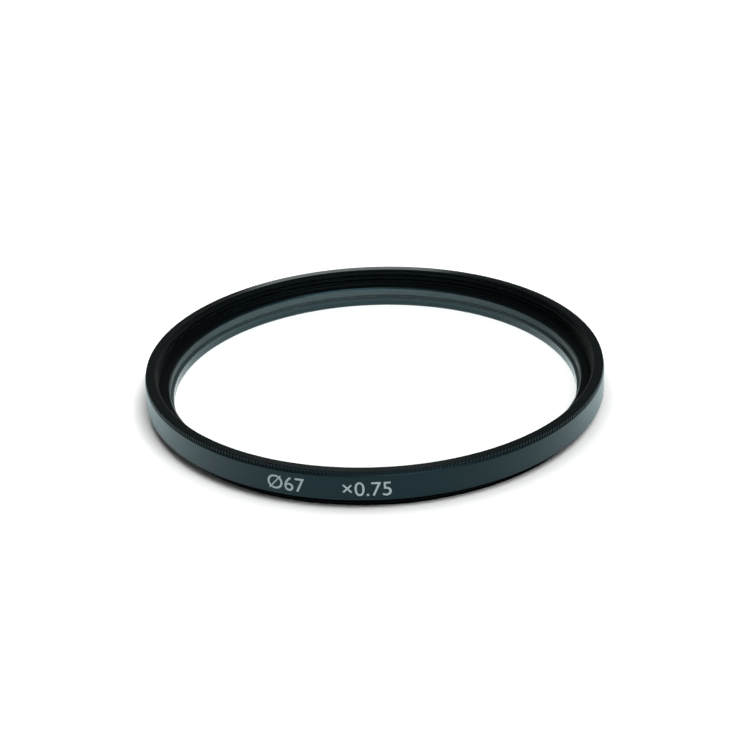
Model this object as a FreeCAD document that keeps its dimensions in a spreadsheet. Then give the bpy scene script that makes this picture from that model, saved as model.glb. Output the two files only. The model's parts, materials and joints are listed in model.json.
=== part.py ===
"""Screw-in lens filter for a 67 mm filter thread: frame ring, glass and retaining ring.

The origin is the middle of the rear end face. +Z is the optical axis and points to the front.
Lengths are millimetres.
"""

import FreeCAD, Part
import math
import os
import Sketcher

doc = FreeCAD.newDocument("lens_filter")

# Driving dimensions
SIZES = {
    "thread_diameter": 67.0,
    "thread_pitch": 0.75,
    "thread_chamfer": 0.3,
    "flange_width": 1.5,
    "rear_thread_length": 1.8,
    "relief_width": 0.4,
    "front_thread_depth": 2.5,
    "ledge_width": 0.5,
    "lip_thickness": 1.35,
    "seat_width": 1.55,
    "glass_thickness": 1.1,
    "glass_clearance": 0.1,
    "glass_bevel": 0.12,
    "retainer_height": 1.25,
    "retainer_width": 1.2,
    "retainer_clearance": 0.03,
    "retainer_bevel": 0.22,
    "hole_diameter": 0.6,
    "hole_depth": 0.5,
    "hole_degrees": 30.0,
    "edge_break": 0.1,
    "knurl_height": 0.7,
    "knurl_pitch": 0.55,
    "knurl_depth": 0.16,
    "knurl_inset": 0.12,
}

sheet = doc.addObject("Spreadsheet::Sheet", "sizes")
for row, (alias, value) in enumerate(SIZES.items(), start=1):
    sheet.set(f"A{row}", alias)
    sheet.set(f"B{row}", str(value))
    sheet.setAlias(f"B{row}", alias)
doc.recompute()

# Depths of the 60 degree metric thread, in pitches: of a nut's thread and of a screw's
NUT_THREAD_DEPTH = 0.5413
SCREW_THREAD_DEPTH = 0.6134

# Radii, from the thread outwards and inwards
THREAD = "sizes.thread_diameter / 2"
RIM = f"({THREAD} + sizes.flange_width)"
FRONT_CREST = f"({THREAD} - {NUT_THREAD_DEPTH} * sizes.thread_pitch)"
REAR_ROOT = f"({THREAD} - {SCREW_THREAD_DEPTH} * sizes.thread_pitch)"
POCKET = f"({FRONT_CREST} - sizes.ledge_width)"
GLASS = f"({POCKET} - sizes.glass_clearance)"
APERTURE = f"({GLASS} - sizes.seat_width)"
RETAINER = f"({POCKET} - sizes.retainer_clearance)"
RETAINER_BORE = f"({RETAINER} - sizes.retainer_width)"
HOLE_CIRCLE = f"(({RETAINER_BORE} + sizes.retainer_bevel + {RETAINER}) / 2)"

# Heights, from the rear end face up through the stack that the frame ring holds
SEAT = "sizes.lip_thickness"
GLASS_TOP = f"({SEAT} + sizes.glass_thickness)"
RETAINER_TOP = f"({GLASS_TOP} + sizes.retainer_height)"
RIM_TOP = f"({RETAINER_TOP} + sizes.front_thread_depth)"
SHOULDER = "sizes.rear_thread_length"


def new_body(label):
    """An empty body whose label names its file."""
    body = doc.addObject("PartDesign::Body", label)
    body.Label = label
    return body


def origin_plane(body, role):
    """One of the body's own origin planes."""
    return next(feature for feature in body.Origin.OriginFeatures if feature.Role == role)


def new_sketch(body, name, plane, height=None):
    """A sketch on one of the body's origin planes, lifted to a height where one is given."""
    sketch = body.newObject("Sketcher::SketchObject", name)
    sketch.AttachmentSupport = (origin_plane(body, plane), [""])
    sketch.MapMode = "FlatFace"
    if height:
        sketch.setExpression("AttachmentOffset.Base.z", height)
    return sketch


def value_of(expression):
    """The number that an expression on the sheet's cells gives now."""
    return float(sheet.evalExpression(expression))


def bind(sketch, kind, expression, *place):
    """A dimension in a sketch whose value follows an expression."""
    index = sketch.addConstraint(Sketcher.Constraint(kind, *place, value_of(expression)))
    sketch.setExpression(f"Constraints[{index}]", expression)


def closed_lines(points):
    """Straight lines from each point to the next, and from the last back to the first."""
    return [Part.LineSegment(*ends) for ends in zip(points, points[1:] + points[:1])]


def outline(sketch, corners):
    """A closed outline through corners, each given as two expressions from the sketch's origin."""
    points = [FreeCAD.Vector(value_of(across), value_of(up), 0) for across, up in corners]
    sketch.addGeometry(closed_lines(points))
    for line, (across, up) in enumerate(corners):
        following = (line + 1) % len(corners)
        sketch.addConstraint(Sketcher.Constraint("Coincident", line, 2, following, 1))
        bind(sketch, "DistanceX", across, -1, 1, line, 1)
        bind(sketch, "DistanceY", up, -1, 1, line, 1)


def circle(sketch, radius, across="0"):
    """A circle on the sketch's X axis, its radius and its distance from the origin given as expressions."""
    centre = FreeCAD.Vector(value_of(across), 0, 0)
    index = sketch.addGeometry(Part.Circle(centre, FreeCAD.Vector(0, 0, 1), value_of(radius)))
    sketch.addConstraint(Sketcher.Constraint("PointOnObject", index, 3, -1))
    bind(sketch, "DistanceX", across, -1, 1, index, 3)
    bind(sketch, "Radius", radius, index)


def saw_tooth(sketch, crest, root, teeth):
    """A closed outline that goes in and out between two radii, once for each tooth."""
    radii = (value_of(crest), value_of(root))
    count = round(value_of(teeth))
    points = []
    for turn in range(2 * count):
        angle = math.pi * turn / count
        points.append(FreeCAD.Vector(math.cos(angle), math.sin(angle), 0) * radii[turn % 2])
    sketch.addGeometry(closed_lines(points))


def turned(body, name, corners):
    """A full turn about Z of a half section, its corners given as radius and height."""
    sketch = new_sketch(body, f"{name}_section", "XZ_Plane")
    outline(sketch, corners)
    turn = body.newObject("PartDesign::Revolution", name)
    turn.Profile = sketch
    turn.ReferenceAxis = (sketch, ["V_Axis"])
    turn.Angle = 360
    doc.recompute()
    return turn


def cut_down(body, name, sketch, depth):
    """A pocket from a sketch straight down to a depth; it stops if nothing was cut."""
    before = body.Shape.Volume
    pocket = body.newObject("PartDesign::Pocket", name)
    pocket.Profile = sketch
    pocket.setExpression("Length", depth)
    doc.recompute()
    if not body.Shape.Volume < before:
        raise RuntimeError(f"{name} cuts nothing")
    return pocket


# Frame ring: rear thread with its relief, rim, front thread bore, ledge, glass pocket and lip
frame_ring = new_body("frame_ring")
turned(frame_ring, "frame_turning", [
    (f"{APERTURE} + sizes.edge_break", "0"),
    (f"{THREAD} - sizes.thread_chamfer", "0"),
    (THREAD, "sizes.thread_chamfer"),
    (THREAD, f"{SHOULDER} - sizes.relief_width"),
    (REAR_ROOT, f"{SHOULDER} - sizes.relief_width"),
    (REAR_ROOT, SHOULDER),
    (f"{RIM} - sizes.edge_break", SHOULDER),
    (RIM, f"{SHOULDER} + sizes.edge_break"),
    (RIM, RIM_TOP),
    (THREAD, RIM_TOP),
    (FRONT_CREST, f"{RIM_TOP} - ({THREAD} - {FRONT_CREST})"),
    (FRONT_CREST, RETAINER_TOP),
    (POCKET, RETAINER_TOP),
    (POCKET, SEAT),
    (APERTURE, SEAT),
    (APERTURE, "sizes.edge_break"),
])

# Straight knurl: the top of the rim wall is cut back to a saw-tooth ring, its crests just under the wall
CREST = f"({RIM} - sizes.knurl_inset)"
ROOT = f"({CREST} - sizes.knurl_depth)"
TEETH = f"2 * pi * {CREST} / sizes.knurl_pitch"
knurl_sketch = new_sketch(frame_ring, "knurl_section", "XY_Plane", RIM_TOP)
circle(knurl_sketch, f"{RIM} + sizes.knurl_depth")
saw_tooth(knurl_sketch, CREST, ROOT, TEETH)
cut_down(frame_ring, "knurl", knurl_sketch, "sizes.knurl_height")

# Glass: a plain disc on the lip, with both edges bevelled
filter_glass = new_body("filter_glass")
glass_sketch = new_sketch(filter_glass, "glass_outline", "XY_Plane", SEAT)
circle(glass_sketch, GLASS)
disc = filter_glass.newObject("PartDesign::Pad", "glass_disc")
disc.Profile = glass_sketch
disc.setExpression("Length", "sizes.glass_thickness")
doc.recompute()
rims = [f"Edge{number}" for number, edge in enumerate(disc.Shape.Edges, start=1) if edge.isClosed()]
bevels = filter_glass.newObject("PartDesign::Chamfer", "glass_bevels")
bevels.Base = (disc, rims)
bevels.setExpression("Size", "sizes.glass_bevel")
filter_glass.Tip = bevels
doc.recompute()

# Retaining ring: screwed down on the glass, flush with the ledge, the top of its bore bevelled
retaining_ring = new_body("retaining_ring")
turned(retaining_ring, "retainer_turning", [
    (RETAINER_BORE, GLASS_TOP),
    (f"{RETAINER} - sizes.edge_break", GLASS_TOP),
    (RETAINER, f"{GLASS_TOP} + sizes.edge_break"),
    (RETAINER, RETAINER_TOP),
    (f"{RETAINER_BORE} + sizes.retainer_bevel", RETAINER_TOP),
    (RETAINER_BORE, f"{RETAINER_TOP} - sizes.retainer_bevel"),
])

# Spanner holes: two blind ones, opposite each other in the flat of the top, on a line at an angle to X
hole_sketch = new_sketch(retaining_ring, "hole_section", "XY_Plane", RETAINER_TOP)
hole_sketch.setExpression("AttachmentOffset.Rotation.Angle", "sizes.hole_degrees")
for across in (HOLE_CIRCLE, f"-{HOLE_CIRCLE}"):
    circle(hole_sketch, "sizes.hole_diameter / 2", across)
cut_down(retaining_ring, "spanner_holes", hole_sketch, "sizes.hole_depth")

PIECES = (frame_ring, filter_glass, retaining_ring)

for item in doc.Objects:
    if "Invalid" in item.State or "Error" in item.State:
        raise RuntimeError(f"{item.Name} failed: {item.State}")
for piece in PIECES:
    if piece.Shape.isNull() or not piece.Shape.isValid():
        raise RuntimeError(f"{piece.Label} has no valid shape")

os.makedirs("parts", exist_ok=True)
for piece in PIECES:
    piece.Shape.exportStep(f"parts/{piece.Label}.step")
    print(piece.Label, round(piece.Shape.Volume, 2), "cubic millimetres")
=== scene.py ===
# %% [markdown]
# # A screw-in lens filter, lying face up
# The real filter is three pieces: a thin ring turned from aluminium and anodised black, a clear round
# glass, and a flat threaded ring that holds the glass down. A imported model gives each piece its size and
# place, and it is loaded here as a fixed frame. The steps below turn finer meshes in the same places and
# give them their finish.

# %% Load the fixed frame
import json
import math

import bmesh
import bpy
import numpy as np
from mathutils import Matrix, Vector


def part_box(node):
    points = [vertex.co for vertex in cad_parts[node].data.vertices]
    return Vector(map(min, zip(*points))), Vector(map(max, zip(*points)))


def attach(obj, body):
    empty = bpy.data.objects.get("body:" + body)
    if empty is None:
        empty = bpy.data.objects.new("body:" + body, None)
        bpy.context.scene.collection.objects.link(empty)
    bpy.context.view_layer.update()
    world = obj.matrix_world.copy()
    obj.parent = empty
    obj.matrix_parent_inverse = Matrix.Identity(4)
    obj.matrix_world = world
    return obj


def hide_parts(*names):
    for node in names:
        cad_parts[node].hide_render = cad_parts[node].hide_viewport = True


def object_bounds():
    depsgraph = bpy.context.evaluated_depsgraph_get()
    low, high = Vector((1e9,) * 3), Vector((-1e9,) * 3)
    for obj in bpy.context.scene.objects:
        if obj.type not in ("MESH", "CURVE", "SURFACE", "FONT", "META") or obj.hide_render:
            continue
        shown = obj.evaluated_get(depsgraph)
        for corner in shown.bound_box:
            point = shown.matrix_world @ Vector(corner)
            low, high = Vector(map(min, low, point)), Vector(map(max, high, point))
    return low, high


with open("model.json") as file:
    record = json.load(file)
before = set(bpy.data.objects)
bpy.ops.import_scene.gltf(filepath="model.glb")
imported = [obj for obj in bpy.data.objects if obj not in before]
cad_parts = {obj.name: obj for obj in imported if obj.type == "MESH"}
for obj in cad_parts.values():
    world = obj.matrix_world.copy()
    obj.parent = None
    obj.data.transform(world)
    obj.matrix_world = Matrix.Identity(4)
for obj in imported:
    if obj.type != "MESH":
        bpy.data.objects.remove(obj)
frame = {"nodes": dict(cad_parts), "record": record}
cad_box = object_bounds()
print("pieces in the frame:", ", ".join(sorted(frame["nodes"])))

# %% [markdown]
# Sizes that two pieces share are read from the frame: how far out each piece reaches, how high it lies, and
# the radii of the two threads. The rest is what a drawing of the ring would give beside them, such as the
# widths of its steps and the breaks on its edges. Everything is in metres, as Blender counts.

# %% Sizes of the three pieces
MM = 0.001
FULL_TURN = 2 * math.pi
EDGE_BREAK = 0.1 * MM
UNDERCUT = 0.4 * MM
LEDGE_WIDTH = 0.5 * MM
SEAT_WIDTH = 1.55 * MM


def reach(node):
    """The radius of a round piece, and the heights of its underside and its top."""
    low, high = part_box(node)
    return high.x, low.z, high.z


mounts = {mount["name"]: mount for mount in frame["record"]["mounts"]}
rear = mounts["rear_thread"]
half_length = rear["dims"]["length_mm"] * MM / 2

rim_radius, _, rim_top = reach("frame_ring")
glass_radius, seat_height, glass_top = reach("filter_glass")
retainer_radius, _, retainer_top = reach("retaining_ring")
front_crest = mounts["front_thread"]["dims"]["r_mm"] * MM
thread_radius = rear["dims"]["r_mm"] * MM
rear_thread_top = rear["pos_m"][2] + half_length
rear_chamfer = rear["pos_m"][2] - half_length

shoulder = rear_thread_top + UNDERCUT
pocket_radius = front_crest - LEDGE_WIDTH
aperture = glass_radius - SEAT_WIDTH
print(f"rim {2 * rim_radius / MM:.2f} mm across, {rim_top / MM:.2f} mm high")

# %% [markdown]
# All three pieces are round, so one helper does for a lathe: it takes the rows of a half section, each a
# radius and a height, and carries them round the axis. Blender's Screw or Spin would do that too, but here
# a row may also wave in and out along the turn, which is what a knurl and a thread need. Where rows meet,
# or where the turn closes, the points fall together and are welded.

# %% A lathe for meshes
WELD = 1e-4 * MM
CREASE = math.radians(28)


def weld(form):
    """Merges points that fall together and drops edges that no face uses any more."""
    bmesh.ops.remove_doubles(form, verts=form.verts, dist=WELD)
    loose = [edge for edge in form.edges if not edge.link_faces]
    bmesh.ops.delete(form, geom=loose, context="EDGES")


def finished(name, form):
    """An object from a bmesh, smooth on its round faces and sharp at its edges."""
    mesh = bpy.data.meshes.new(name)
    form.to_mesh(mesh)
    form.free()
    mesh.shade_smooth()
    mesh.set_sharp_from_angle(angle=CREASE)
    piece = bpy.data.objects.new(name, mesh)
    bpy.context.scene.collection.objects.link(piece)
    mesh.calc_loop_triangles()
    print(f"{name}: {len(mesh.loop_triangles)} triangles")
    return piece


def turned(rows, angles):
    """A bmesh through rows of radius and height, each one number or one number for each angle.

    The rows go round the section anticlockwise, seen with the axis on the left, and the last angle
    repeats the first, a full turn on.
    """
    radius = np.array([np.broadcast_to(row[0], angles.shape) for row in rows])
    height = np.array([np.broadcast_to(row[1], angles.shape) for row in rows])
    points = np.stack((radius * np.cos(angles), radius * np.sin(angles), height), axis=-1)
    here = np.arange(radius.size).reshape(radius.shape)
    after = np.roll(here, -1, axis=0)
    faces = np.stack((here[:, :-1], here[:, 1:], after[:, 1:], after[:, :-1]), axis=-1)
    rough = bpy.data.meshes.new("rough_turning")
    rough.from_pydata(points.reshape(-1, 3).tolist(), [], faces.reshape(-1, 4).tolist())
    form = bmesh.new()
    form.from_mesh(rough)
    bpy.data.meshes.remove(rough)
    weld(form)
    return form


# %% [markdown]
# Round the top of the rim runs a fine straight knurl, for the fingers. Each tooth is four points along the
# turn, given in pitches: two on its flat crest and two in the wider valley. Those angles then serve for the
# whole ring, so that the knurl grows out of the wall without a seam.

# %% The knurl's teeth
KNURL_PITCH = 0.55 * MM
KNURL_DEPTH = 0.16 * MM
KNURL_INSET = 0.12 * MM
KNURL_HEIGHT = 0.7 * MM
TOOTH = np.array((-0.12, 0.12, 0.28, 0.72))

knurl_crest = rim_radius - KNURL_INSET
knurl_root = knurl_crest - KNURL_DEPTH
knurl_foot = rim_top - KNURL_HEIGHT
teeth = round(FULL_TURN * knurl_crest / KNURL_PITCH)
tooth_starts = np.arange(teeth)[:, None]
ring_angles = np.append((tooth_starts + TOOTH).ravel(), teeth + TOOTH[0]) * FULL_TURN / teeth
knurl = np.append(np.tile((knurl_crest, knurl_crest, knurl_root, knurl_root), teeth), knurl_crest)
print(f"knurl of {teeth} teeth, {len(ring_angles) - 1} points to a turn")

# %% [markdown]
# The ring has a metric thread at each end, with a pitch of 0.75 mm: a nut's thread inside the front, where
# a hood or a second filter screws in, and a screw's thread at the rear, for the lens. A picture of lines
# would be flat when it is seen close by, so these are real helices. Each row of the mesh follows one line
# of the thread, along a crest, a flank or a root, and climbs one pitch in a turn. Rows that leave the
# threaded length are held at its end, where they fall together and are welded away.

# %% A thread as rows of the lathe
PITCH = 0.75 * MM
NUT_FLATS = (1 / 4, 1 / 8)
SCREW_FLATS = (1 / 8, 1 / 6)
SCREW_DEPTH = 0.6134 * PITCH


def thread_rows(low, high, crest, root, flats, trimmed):
    """Rows of a right-hand thread between two heights. Flats are the crest's and the root's, in pitches.

    The function trimmed takes radii and heights, and gives the radii that its ends leave.
    """
    crest_flat, root_flat = flats
    flank = (1 - crest_flat - root_flat) / 2
    marks = np.cumsum((0, crest_flat, flank / 2, flank / 2, root_flat, flank / 2, flank / 2))
    middle = (crest + root) / 2
    radii = (crest, crest, middle, root, root, middle, crest)
    climb = ring_angles / FULL_TURN
    rows = []
    for turn in range(math.floor(low / PITCH) - 1, math.ceil(high / PITCH) + 1):
        for mark in marks[:-1]:
            height = np.clip((turn + mark + climb) * PITCH, low, high)
            radius = np.interp((height / PITCH - climb) % 1, marks, radii)
            rows.append((trimmed(radius, height), height))
    return rows


# %% [markdown]
# A thread doesn't stop dead. At the front it opens into a 45 degree mouth, which starts the next screw, and
# it runs out before the ledge below. At the rear the screw's end is chamfered.

# %% The two threads
RUN_OUT = 0.35 * MM
rear_root = thread_radius - SCREW_DEPTH


def front_ends(radius, height):
    """Fades the front thread out above the ledge and opens its mouth."""
    share = np.clip((height - retainer_top) / RUN_OUT, 0, 1)
    mouth = thread_radius - (rim_top - height)
    return np.maximum(front_crest + (radius - front_crest) * share, mouth)


def rear_ends(radius, height):
    """Chamfers the end of the rear thread."""
    return np.minimum(radius, thread_radius - rear_chamfer + height)


front_thread = thread_rows(retainer_top, rim_top, front_crest, thread_radius, NUT_FLATS, front_ends)
rear_thread = thread_rows(0, rear_thread_top, thread_radius, rear_root, SCREW_FLATS, rear_ends)
print(f"threads of {len(front_thread)} and {len(rear_thread)} rows before welding")

# %% [markdown]
# Now the whole ring goes on the lathe. The section starts under the lip, climbs the rear thread, steps out
# to the rim's wall, goes over the knurl and the flat top, down the front thread and the glass's pocket, and
# back along the lip. At its foot the knurl runs out into the wall, as the wheel that pressed it leaves it.
# The ring is one mesh, because the real one is cut from one piece of metal.

# %% The frame ring
KNURL_BREAK = 0.08 * MM
KNURL_RUN_OUT = 1.7 * KNURL_INSET
knurl_start = knurl_foot + KNURL_RUN_OUT

ring_rows = [
    (aperture + EDGE_BREAK, 0),
    *rear_thread,
    (rear_root, rear_thread_top),
    (rear_root, shoulder),
    (rim_radius - EDGE_BREAK, shoulder),
    (rim_radius, shoulder + EDGE_BREAK),
    (rim_radius, knurl_foot),
    (knurl_crest, knurl_start),
    (knurl, knurl_start + knurl_crest - knurl),
    (knurl, rim_top - KNURL_BREAK),
    (knurl - KNURL_BREAK, rim_top),
    *reversed(front_thread),
    (pocket_radius, retainer_top),
    (pocket_radius, seat_height),
    (aperture, seat_height),
    (aperture, EDGE_BREAK),
]
frame_ring = finished("turned_frame_ring", turned(ring_rows, ring_angles))
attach(frame_ring, "root")
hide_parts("frame_ring")

# %% [markdown]
# The glass is a plain disc, flat and polished on both faces, with a small ground bevel on each edge. The
# lathe makes it too, from a section that starts and ends on the axis. It is a few thousandths of a
# millimetre thinner than the gap it lies in, so that no two faces lie in the same plane.

# %% The glass
GLASS_BEVEL = 0.12 * MM
CLEAR_OF_SEAT = 0.004 * MM
glass_low = seat_height + CLEAR_OF_SEAT
glass_high = glass_top - CLEAR_OF_SEAT

glass_rows = [
    (0, glass_low),
    (glass_radius - GLASS_BEVEL, glass_low),
    (glass_radius, glass_low + GLASS_BEVEL),
    (glass_radius, glass_high - GLASS_BEVEL),
    (glass_radius - GLASS_BEVEL, glass_high),
    (0, glass_high),
]
glass = finished("polished_glass", turned(glass_rows, ring_angles))
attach(glass, "root")
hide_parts("filter_glass")

# %% [markdown]
# The retaining ring lies on the glass, flush with the ledge, and the top of its bore is bevelled. Two blind
# holes in its flat top take the pins of a lens spanner. They are drilled as a driller would drill them: two
# pins as thick as the holes are taken out of the ring, with a Boolean modifier that is applied at once.

# %% The retaining ring
RETAINER_WIDTH = 1.2 * MM
RETAINER_BEVEL = 0.22 * MM
HOLE_RADIUS = 0.3 * MM
HOLE_DEPTH = 0.5 * MM
HOLE_ANGLES = (math.radians(30), math.radians(210))
retainer_bore = retainer_radius - RETAINER_WIDTH
hole_circle = (retainer_bore + RETAINER_BEVEL + retainer_radius) / 2


def cut_away(piece, cutter):
    """Takes the cutter's form out of a piece for good, and deletes the cutter."""
    cut = piece.modifiers.new("cut", "BOOLEAN")
    cut.object = cutter
    cut.solver = "EXACT"
    shape = piece.evaluated_get(bpy.context.evaluated_depsgraph_get())
    result = bpy.data.meshes.new_from_object(shape)
    piece.modifiers.clear()
    piece.data = result
    bpy.data.objects.remove(cutter)


retainer_rows = [
    (retainer_bore, glass_top),
    (retainer_radius - EDGE_BREAK, glass_top),
    (retainer_radius, glass_top + EDGE_BREAK),
    (retainer_radius, retainer_top),
    (retainer_bore + RETAINER_BEVEL, retainer_top),
    (retainer_bore, retainer_top - RETAINER_BEVEL),
]
retainer = finished("drilled_retaining_ring", turned(retainer_rows, ring_angles))

pins = bmesh.new()
for angle in HOLE_ANGLES:
    place = Matrix.Translation((hole_circle * math.cos(angle), hole_circle * math.sin(angle), retainer_top))
    bmesh.ops.create_cone(pins, cap_ends=True, segments=32, radius1=HOLE_RADIUS, radius2=HOLE_RADIUS,
                          depth=2 * HOLE_DEPTH, matrix=place)
cut_away(retainer, finished("spanner_pins", pins))
retainer.data.set_sharp_from_angle(angle=CREASE)
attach(retainer, "root")
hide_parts("retaining_ring")

# %% [markdown]
# Such a ring carries its thread size in small pale print on the wall: a diameter sign and a number, then
# the pitch. A text object gives the outlines of the figures, which stand 0.69 high in a text of size 1.
# They are sliced into narrow strips and bent round the wall as a thin film, so that the print follows the
# curve and its edges stay crisp. Before that they are made as thick as they are high, because Blender then
# finds the outside of every face.

# %% Print on the wall
INK_PROUD = 0.008 * MM
INK_SUNK = 0.012 * MM
STRIP = 0.25 * MM
FIGURE_HEIGHT = 0.69
CAP_HEIGHT = 2.15 * MM
FRONT_DEGREES = -90
print_height = (shoulder + knurl_foot) / 2


def printed(name, text, degrees):
    """Figures on the wall, centred this many degrees to the right of the front."""
    words = bpy.data.curves.new(name, "FONT")
    words.body = text
    words.size = CAP_HEIGHT / FIGURE_HEIGHT
    words.align_x = "CENTER"
    flat = bpy.data.objects.new(name, words)
    form = bmesh.new()
    form.from_mesh(bpy.data.meshes.new_from_object(flat))
    bpy.data.objects.remove(flat)
    weld(form)
    left = min(point.co.x for point in form.verts)
    right = max(point.co.x for point in form.verts)
    middle = (left + right) / 2
    for cut in np.arange(left, right, STRIP):
        parts = [*form.verts, *form.edges, *form.faces]
        bmesh.ops.bisect_plane(form, geom=parts, dist=WELD, plane_co=(cut, 0, 0), plane_no=(1, 0, 0))
    outside = list(form.faces)
    made = bmesh.ops.extrude_face_region(form, geom=outside, use_keep_orig=True)
    inner = {item for item in made["geom"] if isinstance(item, bmesh.types.BMVert)}
    for point in inner:
        point.co.z -= CAP_HEIGHT
    bmesh.ops.recalc_face_normals(form, faces=form.faces)
    for point in form.verts:
        angle = math.radians(degrees + FRONT_DEGREES) + (point.co.x - middle) / rim_radius
        radius = rim_radius + (-INK_SUNK if point in inner else INK_PROUD)
        height = print_height + point.co.y - CAP_HEIGHT / 2
        point.co = (radius * math.cos(angle), radius * math.sin(angle), height)
    piece = finished(name, form)
    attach(piece, "root")
    return piece


prints = [
    printed("print_diameter", "Ø67", degrees=-21.5),
    printed("print_pitch", "×0.75", degrees=-2.7),
]

# %% [markdown]
# Finishes are node trees, and most of a tree is arithmetic. A small class wraps one socket, so that sums
# can be written as Python writes them: each operator adds a Math node. One more method makes any other
# node. A Mix node has several sockets of one name, so those for colours are picked by their number.

# %% A small language for shaders
MIX_LOW = 6
MIX_HIGH = 7
MIX_RESULT = 2


class Wire:
    """One output socket of a node tree. Arithmetic on wires and numbers adds Math nodes."""

    def __init__(self, tree, socket=None):
        self.tree = tree
        self.socket = socket

    def node(self, kind, settings=None, sockets=None):
        """A new node with its settings, and then the values or wires of its sockets."""
        made = self.tree.nodes.new(kind)
        for name, value in (settings or {}).items():
            if name == "stops":
                set_stops(made.color_ramp, value)
            else:
                setattr(made, name, value)
        for name, value in (sockets or {}).items():
            if isinstance(value, Wire):
                self.tree.links.new(value.socket, made.inputs[name])
            else:
                made.inputs[name].default_value = value
        return made

    def out(self, kind, output, settings=None, sockets=None):
        """The named output of a new node, as a wire."""
        return Wire(self.tree, self.node(kind, settings, sockets).outputs[output])

    def maths(self, operation, *values):
        """A Math node on wires and numbers."""
        return self.out("ShaderNodeMath", 0, {"operation": operation}, dict(enumerate(values)))

    def __add__(self, other):
        return self.maths("ADD", self, other)

    def __radd__(self, other):
        return self.maths("ADD", other, self)

    def __sub__(self, other):
        return self.maths("SUBTRACT", self, other)

    def __rsub__(self, other):
        return self.maths("SUBTRACT", other, self)

    def __mul__(self, other):
        return self.maths("MULTIPLY", self, other)

    def __rmul__(self, other):
        return self.maths("MULTIPLY", other, self)

    def __pow__(self, other):
        return self.maths("POWER", self, other)

    def over(self, edge, width):
        """Goes from 0 to 1 as the value climbs past an edge, over a width."""
        sockets = {"Value": self, "From Min": edge - width / 2, "From Max": edge + width / 2}
        return self.out("ShaderNodeMapRange", 0, {"interpolation_type": "SMOOTHSTEP"}, sockets)

    def tint(self, low, high):
        """A colour between two colours, as the value goes from 0 to 1."""
        sockets = {"Factor": self, MIX_LOW: (*low, 1), MIX_HIGH: (*high, 1)}
        return self.out("ShaderNodeMix", MIX_RESULT, {"data_type": "RGBA"}, sockets)


def set_stops(ramp, stops):
    """Gives a colour ramp its stops, each a place and a grey level."""
    while len(ramp.elements) < len(stops):
        ramp.elements.new(0.5)
    for element, (place, level) in zip(ramp.elements, stops):
        element.position = place
        element.color = (level, level, level, 1)


def new_material(name):
    """A material with a bare node tree, its output, and a wire to build from."""
    material = bpy.data.materials.new(name)
    material.use_nodes = True
    material.node_tree.nodes.clear()
    start = Wire(material.node_tree)
    return material, start, start.node("ShaderNodeOutputMaterial")


def plug(wire, output):
    """Links a shader to a material's or a world's output."""
    wire.tree.links.new(wire.socket, output.inputs["Surface"])


# %% [markdown]
# A turned piece shows its making: lines as fine as the tool's feed run round it, at one radius or one
# height. So the pattern is read from the distance to the axis and the height alone, and the turn doesn't
# matter. A second, even grain stands for the blasting before the dye bath, and a slow one for the handling
# since.

# %% Grain of a turned and anodised surface
FEED_LINES = 22 / MM
BLAST_GRAINS = 14 / MM
HANDLING_PATCHES = 0.12 / MM


def whereabouts(start):
    """Wires for the place on a piece, its distance to the axis and its height."""
    place = start.out("ShaderNodeTexCoord", "Object")
    axes = start.node("ShaderNodeSeparateXYZ", None, {"Vector": place}).outputs
    across, along, height = (Wire(start.tree, axes[name]) for name in "XYZ")
    radius = (across * across + along * along) ** 0.5
    return place, radius, height


def grain(start):
    """Wires for the distance to the axis, the height, the tool's lines, the blasting and the handling."""
    place, radius, height = whereabouts(start)
    section = start.out("ShaderNodeCombineXYZ", 0, None, {"X": radius, "Y": height})

    def noise(vector, scale, detail):
        sockets = {"Vector": vector, "Scale": scale, "Detail": detail}
        return start.out("ShaderNodeTexNoise", "Fac", None, sockets)

    lines = noise(section, FEED_LINES, 1.0)
    blasting = noise(place, BLAST_GRAINS, 1.0)
    handling = noise(place, HANDLING_PATCHES, 3.0)
    return radius, height, lines, blasting, handling


# %% [markdown]
# Black anodising is a hard clear skin dyed black on bright metal, then sealed. Nearly all that is seen of
# it is what its surface mirrors: little and bluish face on, but as bright as the floor where it turns away.
# A Principled shader does that with a dark colour, a tinted specular and a weak coat for the seal. The
# roughness and a very shallow bump follow the grain. The colour changes only a little, with the handling
# and on the knurl's crests, where fingers rub them.
#
# One recipe gives six finishes. The wall is satin. The flat top is smoother and shows the lines of the
# lathe, and the lip's bore is smoother too. The threads and the sides of the teeth are dull. The seat under
# the glass is greyer, because the tool passed over it last. The retaining ring's bore is paler still: its
# grey colour is a painted sheen, standing for the light that the bore catches.

# %% Black anodised aluminium
SKIN_IOR = 1.7
SEAL_TINT = (0.84, 0.98, 1.0)
RUBBED_DEPTH = 0.03 * MM
RUBBED_FADE = 0.05 * MM
BUMP_DEPTH = 0.002 * MM
BUMP_STRENGTH = 0.25
ROUND_THE_AXIS = 0.25
DEEP_BLACK = ((0.0012, 0.0022, 0.0026), (0.0028, 0.0048, 0.0052))
PALE_MIRROR = (0.50, 0.80, 0.90)


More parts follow.
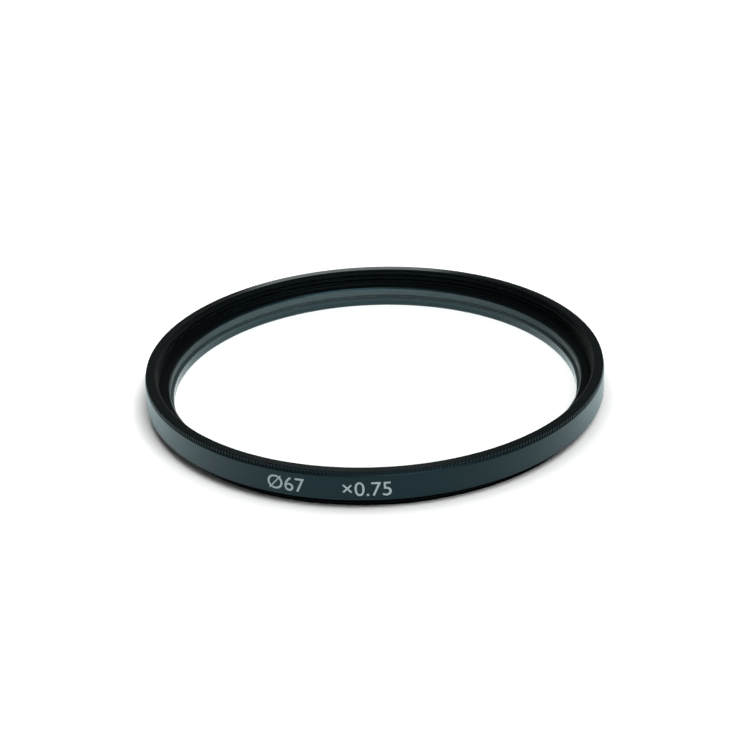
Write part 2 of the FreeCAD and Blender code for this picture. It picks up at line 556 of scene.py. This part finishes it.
def anodised(name, dark, pale, roughness, mirror, mirror_tint, seal_ior=1.0, lined=0.0):
    """A black skin on turned metal, between a dark and a slightly paler black."""
    material, start, output = new_material(name)
    radius, height, lines, blasting, handling = grain(start)
    crests = radius.over(knurl_crest - RUBBED_DEPTH, RUBBED_DEPTH) * height.over(knurl_foot, RUBBED_FADE)
    rubbed = handling * 0.6 + crests * 0.4
    bump = start.out("ShaderNodeBump", 0, None, {
        "Strength": BUMP_STRENGTH,
        "Distance": BUMP_DEPTH,
        "Height": lines * 0.6 + blasting * 0.4,
    })
    skin = start.out("ShaderNodeBsdfPrincipled", 0, None, {
        "Base Color": rubbed.tint(dark, pale),
        "Roughness": roughness + (handling - 0.5) * 0.1 + (lines - 0.5) * 0.08,
        "IOR": SKIN_IOR,
        "Specular IOR Level": mirror,
        "Specular Tint": (*mirror_tint, 1),
        "Anisotropic": lined,
        "Anisotropic Rotation": ROUND_THE_AXIS,
        "Coat Weight": float(seal_ior > 1),
        "Coat IOR": seal_ior,
        "Coat Tint": (*SEAL_TINT, 1),
        "Coat Roughness": roughness,
        "Normal": bump,
    })
    plug(skin, output)
    return material


satin_black = anodised("satin_black", *DEEP_BLACK,
                       roughness=0.36, mirror=0.5, mirror_tint=(0.085, 0.22, 0.27), seal_ior=1.12)
lined_black = anodised("lined_black", *DEEP_BLACK,
                       roughness=0.22, mirror=0.5, mirror_tint=(0.10, 0.30, 0.33), lined=0.3)
bright_black = anodised("bright_black", (0.018, 0.028, 0.030), (0.024, 0.036, 0.038),
                        roughness=0.25, mirror=0.5, mirror_tint=(0.06, 0.22, 0.27), seal_ior=1.25)
dull_black = anodised("dull_black", (0.0016, 0.0022, 0.0024), (0.0030, 0.0040, 0.0044),
                      roughness=0.55, mirror=0.06, mirror_tint=PALE_MIRROR)
# The bore's pale grey stands for light that it catches: a painted sheen, not a colour of its own
turned_grey = anodised("turned_grey", (0.076, 0.107, 0.112), (0.098, 0.138, 0.146),
                       roughness=0.45, mirror=0.10, mirror_tint=PALE_MIRROR)
seat_grey = anodised("seat_grey", (0.030, 0.046, 0.050), (0.040, 0.056, 0.060),
                     roughness=0.45, mirror=0.10, mirror_tint=PALE_MIRROR)
finishes = (satin_black, lined_black, bright_black, dull_black, turned_grey, seat_grey)
print("finishes:", ", ".join(finish.name for finish in finishes))

# %% [markdown]
# Each finish covers its own part of a piece. The parts are told apart by where a face lies: how far it is
# from the axis, and how high.

# %% Finish of the frame ring and the retaining ring
NEAR = 0.02 * MM


def dress(piece, ground, *patches):
    """Gives a piece its ground finish, and other finishes to the faces that a radius and a height pick."""
    mesh = piece.data
    centres = np.empty(3 * len(mesh.polygons))
    mesh.polygons.foreach_get("center", centres)
    across, along, height = centres.reshape(-1, 3).T
    radius = np.hypot(across, along)
    finish = np.zeros(len(mesh.polygons), dtype=np.int32)
    mesh.materials.append(ground)
    for number, (material, picked) in enumerate(patches, start=1):
        mesh.materials.append(material)
        finish[picked(radius, height)] = number
    mesh.polygons.foreach_set("material_index", finish)
    print(f"{piece.name}: faces of each finish", np.bincount(finish).tolist())


rear_end = shoulder + EDGE_BREAK - NEAR
teeth_ends = rim_top - 0.9 * KNURL_BREAK
flat_top = rim_top - 0.1 * KNURL_BREAK
mid_flank = (knurl_crest + knurl_root) / 2
flank_reach = 2 * NEAR
dress(
    frame_ring,
    satin_black,
    # The front thread and the pocket, the rear thread, the broken ends of the teeth, and their flanks
    (dull_black, lambda radius, height: (radius < thread_radius) & (height > seat_height + NEAR)),
    (dull_black, lambda radius, height: (radius > rear_root - NEAR) & (height < rear_end)),
    (dull_black, lambda radius, height: (radius > thread_radius) & (height > teeth_ends)),
    (dull_black, lambda radius, height: (abs(radius - mid_flank) < flank_reach) & (height > knurl_start)),
    # The flat top, the seat under the glass, and the lip's bore
    (lined_black, lambda radius, height: (radius > thread_radius) & (height > flat_top)),
    (seat_grey, lambda radius, height: (radius < pocket_radius) & (abs(height - seat_height) < NEAR)),
    (bright_black, lambda radius, height: (radius < aperture + NEAR) & (height < seat_height - NEAR)),
)
dress(
    retainer,
    dull_black,
    # The bevel on top of the bore, and then the bore itself, whose pale grey is a painted sheen
    (satin_black, lambda radius, height: radius < retainer_bore + RETAINER_BEVEL - NEAR),
    (turned_grey, lambda radius, height: radius < retainer_bore + NEAR),
)

# %% [markdown]
# Clear glass lets the floor show through, bends what lies under it, and mirrors the room a little. Lamps
# have to reach the floor below it, so rays that only carry light meet a plain transparent shader instead.
# The ground bevels are rough, and so they are the one place where the disc looks grey.

# %% Polished glass
GLASS_IOR = 1.5
GROUND_ROUGHNESS = 0.45
GROUND_FADE = 0.02 * MM


def blend(share, one, other):
    """A mix of two shaders, the second one by its share."""
    return share.out("ShaderNodeMixShader", 0, None, {0: share, 1: one, 2: other})


def polished_glass():
    """Clear optical glass, rough only on its ground edge."""
    material, start, output = new_material("optical_glass")
    radius, _, _, _, handling = grain(start)
    ground = radius.over(glass_radius - GLASS_BEVEL, GROUND_FADE)
    sockets = {
        "Base Color": handling.tint((0.975, 0.992, 0.988), (0.990, 0.998, 0.996)),
        "Roughness": ground * GROUND_ROUGHNESS,
        "IOR": GLASS_IOR,
        "Transmission Weight": 1.0,
    }
    clear = start.out("ShaderNodeBsdfPrincipled", 0, None, sockets)
    open_way = start.out("ShaderNodeBsdfTransparent", 0, None, {"Color": (0.96, 0.975, 0.97, 1)})
    path = start.node("ShaderNodeLightPath").outputs
    light_only = Wire(start.tree, path["Is Shadow Ray"]) + Wire(start.tree, path["Is Diffuse Ray"])
    plug(blend(light_only, clear, open_way), output)
    return material


glass.data.materials.append(polished_glass())
print(f"{glass.name}: clear, refractive index {GLASS_IOR}")

# %% [markdown]
# The print is a thin pale ink. It isn't quite even: the screen it was pulled through leaves it a little
# thinner in places, so its colour and gloss vary over tenths of a millimetre.

# %% Printing ink
THIN_INK = (0.28, 0.35, 0.375)
FULL_INK = (0.42, 0.50, 0.53)


def ink():
    """Pale grey screen ink, slightly uneven."""
    material, start, output = new_material("screen_ink")
    _, _, _, blasting, handling = grain(start)
    cover = blasting * 0.7 + handling * 0.3
    film = start.out("ShaderNodeBsdfPrincipled", 0, None, {
        "Base Color": cover.tint(THIN_INK, FULL_INK),
        "Roughness": 0.5 + cover * 0.2,
    })
    plug(film, output)
    return material


screen_ink = ink()
for piece in prints:
    piece.data.materials.append(screen_ink)
print(f"{screen_ink.name} on {len(prints)} prints")

# %% [markdown]
# The floor is a white table. Round the filter it is plain paint, which takes the filter's shadow. Farther
# out, and under the glass, the paint is thinner, and a glow that only the camera, mirrors and glass see is
# added, so that the table comes out white without more light on the filter. Where the lamps don't reach,
# the glow alone is white.

# %% The table
FLOOR_REACH = 4.0
FLOOR_DROP = 0.01 * MM
PAINT = (0.95, 0.96, 0.96)
THIN_PAINT = (0.55, 0.555, 0.555)
THIN_GLOW = 0.85
CLEAR_OF_RIM = 2.25 * MM
OUTER_FADE = 5.5 * MM
CLEAR_OF_THREAD = 1.5 * MM
INNER_FADE = 0.5 * MM
LAMPLIT = 200 * MM

sheet = bmesh.new()
bmesh.ops.create_circle(sheet, cap_ends=True, segments=64, radius=FLOOR_REACH)
floor = finished("table", sheet)
floor.location.z = cad_box[0].z - FLOOR_DROP


def seen_rays(start):
    """1 for rays from the camera, from a mirror or through glass, and 0 for rays that only carry light."""
    path = start.node("ShaderNodeLightPath").outputs
    seen = Wire(start.tree, path["Is Camera Ray"])
    for ray in ("Is Glossy Ray", "Is Transmission Ray"):
        seen = seen.maths("MAXIMUM", seen, Wire(start.tree, path[ray]))
    return seen


white, start, output = new_material("white_table")
seen = seen_rays(start)
_, from_axis, _ = whereabouts(start)
paint = start.out("ShaderNodeBsdfDiffuse", 0, None, {"Color": (*PAINT, 1)})
thin_paint = start.out("ShaderNodeBsdfDiffuse", 0, None, {"Color": (*THIN_PAINT, 1)})
thin_glow = start.out("ShaderNodeEmission", 0, None, {"Strength": THIN_GLOW})
thin_seen = start.out("ShaderNodeAddShader", 0, None, {0: thin_paint, 1: thin_glow})
glow = start.out("ShaderNodeEmission", 0, None, {"Strength": 1.0})
outside = from_axis.over(rim_radius + CLEAR_OF_RIM, OUTER_FADE)
inside = 1 - from_axis.over(thread_radius - CLEAR_OF_THREAD, INNER_FADE)
thinned = outside + inside
near = blend(seen, blend(thinned, paint, thin_paint), blend(thinned, paint, thin_seen))
plug(blend(seen * from_axis.over(LAMPLIT, LAMPLIT), near, glow), output)
floor.data.materials.append(white)

# %% [markdown]
# The room is white at the table's edge and dark higher up, where the flat top of the ring mirrors it to the
# camera. The main lamp stands in front, to the right. A weaker one hangs above, a little to the left, and a
# third stands at the right. A small dim card behind the filter puts a soft light on the far end of the flat
# top.

# %% The room and the lamps
CENTRE = (0, 0, 0)
HORIZON_TO_ZENITH = [
    (0.50, 1.00), (0.53, 1.00), (0.58, 0.20), (0.64, 0.06), (0.70, 0.06),
    (0.74, 0.10), (0.80, 0.10), (0.90, 0.05), (1.00, 0.03),
]

world = bpy.data.worlds.new("dark_room")
bpy.context.scene.world = world
world.use_nodes = True
world.node_tree.nodes.clear()
start = Wire(world.node_tree)
direction = start.out("ShaderNodeTexCoord", "Generated")
upward = Wire(start.tree, start.node("ShaderNodeSeparateXYZ", None, {"Vector": direction}).outputs["Z"])
level = start.out("ShaderNodeValToRGB", 0, {"stops": HORIZON_TO_ZENITH}, {"Fac": upward * 0.5 + 0.5})
plug(start.out("ShaderNodeBackground", 0, None, {"Color": level}), start.node("ShaderNodeOutputWorld"))


def soft_lamp(name, place, aim, width, height, watts):
    """An oblong lamp at a place, turned towards a point, that the camera itself doesn't see."""
    lamp = bpy.data.lights.new(name, "AREA")
    lamp.shape = "RECTANGLE"
    lamp.size = width
    lamp.size_y = height
    lamp.energy = watts
    stand = bpy.data.objects.new(name, lamp)
    stand.location = place
    stand.rotation_mode = "QUATERNION"
    stand.rotation_quaternion = (Vector(aim) - Vector(place)).to_track_quat("-Z", "Y")
    stand.visible_camera = False
    bpy.context.scene.collection.objects.link(stand)
    print(f"{name}: {watts} W")


soft_lamp("lamp_front", (0.14, -0.37, 0.55), CENTRE, 0.40, 0.30, watts=4.0)
soft_lamp("lamp_left", (-0.12, -0.03, 0.65), CENTRE, 0.30, 0.30, watts=0.6)
soft_lamp("lamp_right", (0.34, -0.02, 0.48), CENTRE, 0.30, 0.30, watts=0.25)
soft_lamp("card_behind", (-0.005, 0.100, 0.037), (-0.005, 0, 0.037), 0.040, 0.050, watts=0.008)

# %% [markdown]
# The camera stands where the photograph was taken: a little over a hand's breadth above the table, looking
# down by about 28 degrees through a short telephoto lens, and tilted by two degrees.

# %% The camera
PHOTO_WIDTH = 750
FOCAL_PIXELS = 1784
SENSOR = 36
ELEVATION = math.radians(27.56)
DISTANCE = 275.9 * MM
ROLL = math.radians(-2.2)
SIGHTED = Vector((0, 0, 0.5 * MM))
SIGHTED_PIXEL = (375.3, 390.6)
CLIP_START = 10 * MM

lens = bpy.data.cameras.new("camera")
lens.sensor_width = SENSOR
lens.lens = FOCAL_PIXELS / PHOTO_WIDTH * SENSOR
lens.shift_x = (PHOTO_WIDTH / 2 - SIGHTED_PIXEL[0]) / PHOTO_WIDTH
lens.shift_y = (SIGHTED_PIXEL[1] - PHOTO_WIDTH / 2) / PHOTO_WIDTH
lens.clip_start = CLIP_START
camera = bpy.data.objects.new("camera", lens)
back = Vector((0, -math.cos(ELEVATION), math.sin(ELEVATION)))
camera.location = SIGHTED + DISTANCE * back
camera.rotation_mode = "QUATERNION"
roll = Matrix.Rotation(ROLL, 3, "Z").to_quaternion()
camera.rotation_quaternion = (-back).to_track_quat("-Z", "Y") @ roll
bpy.context.scene.collection.objects.link(camera)
bpy.context.scene.camera = camera
bpy.context.scene.view_settings.view_transform = "Standard"
print(f"camera {DISTANCE / MM:.0f} mm away, with a lens of {lens.lens:.0f} mm")

# %% [markdown]
# Last, the view layer is brought up to date.

# %% Finish
bpy.context.view_layer.update()
